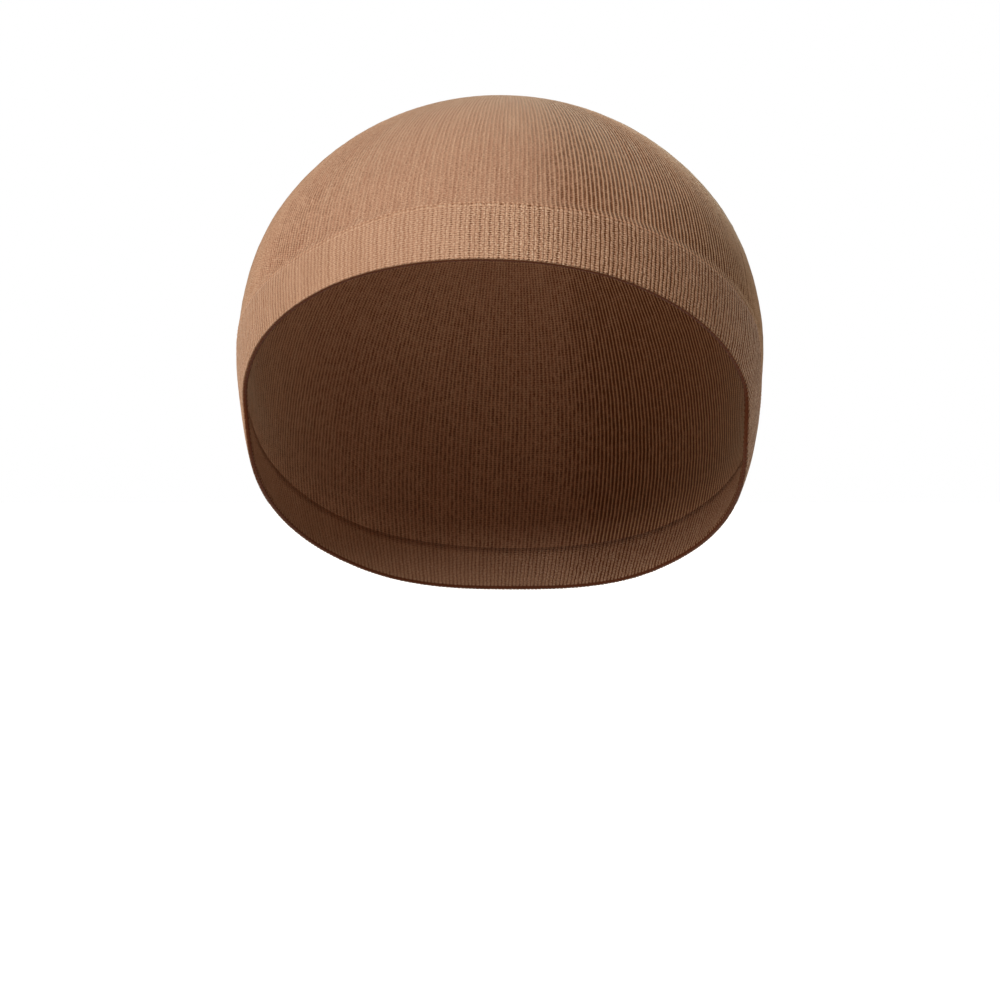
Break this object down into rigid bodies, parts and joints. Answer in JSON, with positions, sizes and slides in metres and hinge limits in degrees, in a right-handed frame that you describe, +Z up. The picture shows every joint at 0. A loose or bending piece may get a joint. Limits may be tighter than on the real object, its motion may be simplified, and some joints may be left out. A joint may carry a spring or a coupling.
{
  "type": "wig cap",
  "caption": "Stretch-knit stocking wig cap with a ribbed single-knit crown and a doubled band along the hem, in its worn form.",
  "frame": {"origin": "inside of the crown at its top, where the top of the head bears", "axes": "+Z up, -Y towards the forehead, +X towards the wearer's left ear"},
  "size_m": [0.16, 0.1799, 0.1517],
  "materials": {
    "crown_knit": "matt tan stretch knit with fine ribs",
    "linking_knit": "lighter raised course of the same yarn",
    "band_knit": "doubled tan stretch knit, slightly lustrous, with fine ribs and courses"
  },
  "bodies": {
    "root": {"crown": "crown_knit", "linking_course": "linking_knit", "band": "band_knit"}
  },
  "joints": []
}
